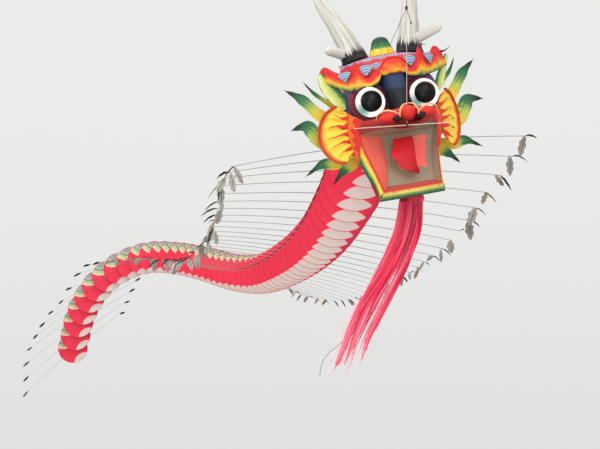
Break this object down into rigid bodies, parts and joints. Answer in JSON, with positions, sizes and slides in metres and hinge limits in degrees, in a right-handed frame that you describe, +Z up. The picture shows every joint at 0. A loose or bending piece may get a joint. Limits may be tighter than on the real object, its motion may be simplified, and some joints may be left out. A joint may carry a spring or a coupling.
{
  "type": "dragon kite",
  "caption": "Dragon-headed train kite: framed, painted silk head with horns, ears and open jaw on a two-leg bridle, and a long train of silk discs with feathered sticks.",
  "frame": {"origin": "centre of the tow ring at the top of the short flying line, where the kite is held", "axes": "+Z up, -Y the way the head looks (turned 5 degrees towards +X), +Y back along the train"},
  "size_m": [3.1203, 5.8017, 2.2386],
  "materials": {
    "painted_silk": "satin, hand painted",
    "ear_silk": "satin, hand painted",
    "ear_rim": "painted cane",
    "mane_silk": "satin, hand painted",
    "jaw_silk": "satin",
    "lip_silk": "satin, hand painted",
    "tongue_silk": "satin",
    "beard_silk": "loose dyed silk threads",
    "cane": "split and smoothed cane",
    "eye_socket": "painted rim",
    "eyeball": "glossy",
    "horn_gauze": "stretched translucent gauze",
    "cord": "twisted thread",
    "ring_steel": "polished wire",
    "disc_silk": "painted silk on cane hoops",
    "whisker_cane": "thin cane sticks with feather tips"
  },
  "bodies": {
    "head": {"bridle_crest_leg": "cord", "bridle_knot": "cord", "bridle_lip_leg": "cord", "brow_cover": "painted_silk", "crown_cone": "painted_silk", "eye_axle_left": "cane", "eye_axle_right": "cane", "eye_socket_left": "eye_socket", "eye_socket_right": "eye_socket", "face_mask": "painted_silk", "flying_line": "cord", "horn_socket_left": "cane", "horn_socket_right": "cane", "jaw_pin": "cane", "mane_left": "mane_silk", "mane_right": "mane_silk", "skull_cover": "painted_silk", "skull_frame": "cane", "snout_cover": "painted_silk", "tow_ring": "ring_steel", "upper_lip_bar": "cane"},
    "eye_left": {"eyeball_left": "eyeball"},
    "eye_right": {"eyeball_right": "eyeball"},
    "horn_left": {"horn_left": "horn_gauze", "horn_peg_left": "cane"},
    "horn_right": {"horn_right": "horn_gauze", "horn_peg_right": "cane"},
    "ear_left": {"ear_silk_left": "ear_silk", "ear_rim_left": "ear_rim"},
    "ear_right": {"ear_silk_right": "ear_silk", "ear_rim_right": "ear_rim"},
    "jaw": {"jaw_frame": "cane", "jaw_cover": "jaw_silk", "jaw_lip": "lip_silk"},
    "tongue": {"tongue": "tongue_silk"},
    "beard": {"beard": "beard_silk"},
    "train_01": {"silk_discs_01": "disc_silk", "whiskers_01": "whisker_cane"},
    "train_02": {"silk_discs_02": "disc_silk", "whiskers_02": "whisker_cane"},
    "train_03": {"silk_discs_03": "disc_silk", "whiskers_03": "whisker_cane"},
    "train_04": {"silk_discs_04": "disc_silk", "whiskers_04": "whisker_cane"},
    "train_05": {"silk_discs_05": "disc_silk", "whiskers_05": "whisker_cane"},
    "train_06": {"silk_discs_06": "disc_silk", "whiskers_06": "whisker_cane"},
    "train_07": {"silk_discs_07": "disc_silk", "whiskers_07": "whisker_cane"},
    "train_08": {"silk_discs_08": "disc_silk", "whiskers_08": "whisker_cane"},
    "train_09": {"silk_discs_09": "disc_silk", "whiskers_09": "whisker_cane"},
    "train_10": {"silk_discs_10": "disc_silk", "whiskers_10": "whisker_cane"},
    "train_11": {"silk_discs_11": "disc_silk", "whiskers_11": "whisker_cane"},
    "train_12": {"silk_discs_12": "disc_silk", "whiskers_12": "whisker_cane"}
  },
  "joints": [
    {"name": "eye_spin_left", "type": "hinge", "parent": "head", "child": "eye_left", "pos_m": [-0.10912, 0.03279, -0.35179], "axis": [0.0872, -0.9962, 0], "continuous": true},
    {"name": "eye_spin_right", "type": "hinge", "parent": "head", "child": "eye_right", "pos_m": [0.05766, 0.04738, -0.32227], "axis": [0.0872, -0.9962, 0], "continuous": true},
    {"name": "horn_pull_left", "type": "slide", "parent": "head", "child": "horn_left", "axis": [-0.4155, 0.4496, 0.7907], "range_m": [0, 0.04]},
    {"name": "horn_pull_right", "type": "slide", "parent": "head", "child": "horn_right", "axis": [0.0391, 0.4894, 0.8712], "range_m": [0, 0.04]},
    {"name": "ear_fold_left", "type": "hinge", "parent": "head", "child": "ear_left", "pos_m": [-0.16654, 0.10807, -0.43891], "axis": [0.173, 0.0151, -0.9848], "range_deg": [-25, 16]},
    {"name": "ear_fold_right", "type": "hinge", "parent": "head", "child": "ear_right", "pos_m": [0.12777, 0.13382, -0.38681], "axis": [-0.173, -0.0151, 0.9848], "range_deg": [-25, 16]},
    {"name": "jaw_fold", "type": "hinge", "parent": "head", "child": "jaw", "pos_m": [-0.00978, 0.11677, -0.46505], "axis": [0.9811, 0.0858, 0.1736], "range_deg": [-12, 0]},
    {"name": "tongue_swing", "type": "hinge", "parent": "head", "child": "tongue", "pos_m": [-0.00863, 0.07169, -0.4493], "axis": [0.9811, 0.0858, 0.1736], "range_deg": [-12, 4]},
    {"name": "beard_swing", "type": "hinge", "parent": "jaw", "child": "beard", "pos_m": [0.03346, 0.00511, -0.65414], "axis": [0, 1, 0], "range_deg": [-30, 30]},
    {"name": "train_pitch_01", "type": "hinge", "parent": "head", "child": "train_01", "pos_m": [-0.03869, 0.41701, -0.41063], "axis": [0.9945, 0, 0.1045], "range_deg": [-10, 10]},
    {"name": "train_yaw_02", "type": "hinge", "parent": "train_01", "child": "train_02", "pos_m": [-0.11765, 0.92049, -0.57227], "axis": [0.0406, 0, 0.9992], "range_deg": [-4, 4]},
    {"name": "train_pitch_03", "type": "hinge", "parent": "train_02", "child": "train_03", "pos_m": [-0.18175, 1.43098, -0.71802], "axis": [0.9935, 0, -0.1141], "range_deg": [-10, 10]},
    {"name": "train_yaw_04", "type": "hinge", "parent": "train_03", "child": "train_04", "pos_m": [-0.26358, 1.94701, -0.83207], "axis": [0.1587, 0, 0.9873], "range_deg": [-4, 4]},
    {"name": "train_pitch_05", "type": "hinge", "parent": "train_04", "child": "train_05", "pos_m": [-0.36321, 2.46472, -0.92228], "axis": [0.9814, 0, -0.1919], "range_deg": [-10, 10]},
    {"name": "train_yaw_06", "type": "hinge", "parent": "train_05", "child": "train_06", "pos_m": [-0.47906, 2.98125, -0.99889], "axis": [0.2276, 0, 0.9737], "range_deg": [-4, 4]},
    {"name": "train_pitch_07", "type": "hinge", "parent": "train_06", "child": "train_07", "pos_m": [-0.62997, 3.49173, -1.04578], "axis": [0.9687, 0, -0.2483], "range_deg": [-10, 10]},
    {"name": "train_yaw_08", "type": "hinge", "parent": "train_07", "child": "train_08", "pos_m": [-0.82671, 3.98894, -1.04525], "axis": [0.2297, 0, 0.9733], "range_deg": [-4, 4]},
    {"name": "train_pitch_09", "type": "hinge", "parent": "train_08", "child": "train_09", "pos_m": [-1.05365, 4.47184, -1.01156], "axis": [0.9893, 0, -0.146], "range_deg": [-10, 10]},
    {"name": "train_yaw_10", "type": "hinge", "parent": "train_09", "child": "train_10", "pos_m": [-1.34413, 4.91866, -0.98544], "axis": [0.0183, 0, 0.9998], "range_deg": [-4, 4]},
    {"name": "train_pitch_11", "type": "hinge", "parent": "train_10", "child": "train_11", "pos_m": [-1.74683, 5.24755, -1.06052], "axis": [0.9267, 0, 0.3758], "range_deg": [-10, 10]},
    {"name": "train_yaw_12", "type": "hinge", "parent": "train_11", "child": "train_12", "pos_m": [-2.10629, 5.45297, -1.38634], "axis": [-0.5316, 0, 0.847], "range_deg": [-4, 4]}
  ]
}
